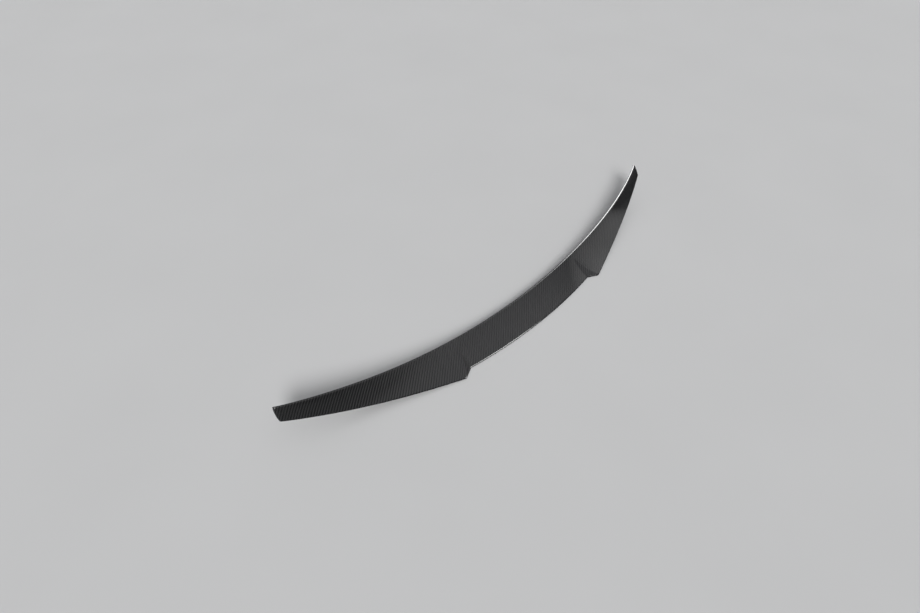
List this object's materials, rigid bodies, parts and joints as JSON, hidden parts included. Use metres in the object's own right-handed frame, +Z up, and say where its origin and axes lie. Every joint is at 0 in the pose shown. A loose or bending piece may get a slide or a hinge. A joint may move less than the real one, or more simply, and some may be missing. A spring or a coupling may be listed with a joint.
{
  "type": "car rear spoiler",
  "caption": "Bowed boot-lid spoiler of glossy twill carbon: a thin open-backed shell with a lower middle stretch, stepped wings and tapering tips, bonded along its front and heel.",
  "frame": {"origin": "middle of the bottom of the bounding box, on the floor that the spoiler lies on", "axes": "+X across the car to one tip, +Y to the front edge, +Z up from the floor, with the spoiler lying on its rear face as in the picture"},
  "size_m": [1.22, 0.1724, 0.0897],
  "materials": {
    "carbon": "dark grey twill-weave carbon-fibre laminate under a glossy clear coat"
  },
  "bodies": {
    "root": {"spoiler_shell": "carbon"}
  },
  "joints": []
}
